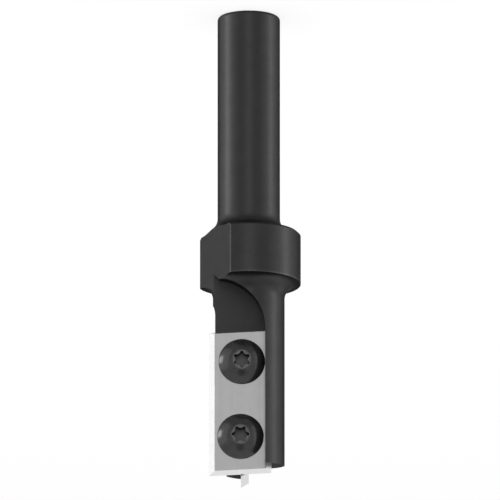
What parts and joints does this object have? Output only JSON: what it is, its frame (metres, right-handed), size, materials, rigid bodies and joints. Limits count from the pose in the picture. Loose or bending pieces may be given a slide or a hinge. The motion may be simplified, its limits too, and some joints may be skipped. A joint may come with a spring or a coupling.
{
  "type": "plunge grooving router bit",
  "caption": "Plunge grooving router bit: round shank, thick collar with a ground flat, slim body with a bevelled reversible knife under domed screws, and a small plunge tip across its end.",
  "frame": {"origin": "centre of the shank's flat end face, on which the tool stands with its cutting tip up", "axes": "+Z along the tool's axis from the shank's end to the cutting tip; the knife is clamped on the -Y side with its working edge towards +X"},
  "size_m": [0.0194, 0.02, 0.0921],
  "materials": {
    "blackened_steel": "blackened, satin",
    "ground_carbide": "fine ground",
    "tip_carbide": "fine ground",
    "screw_steel": "blackened, semi-gloss"
  },
  "bodies": {
    "root": {"tool_body": "blackened_steel", "reversible_knife": "ground_carbide", "plunge_tip": "tip_carbide", "collar_end_screw": "screw_steel", "tip_end_screw": "screw_steel"}
  },
  "joints": []
}
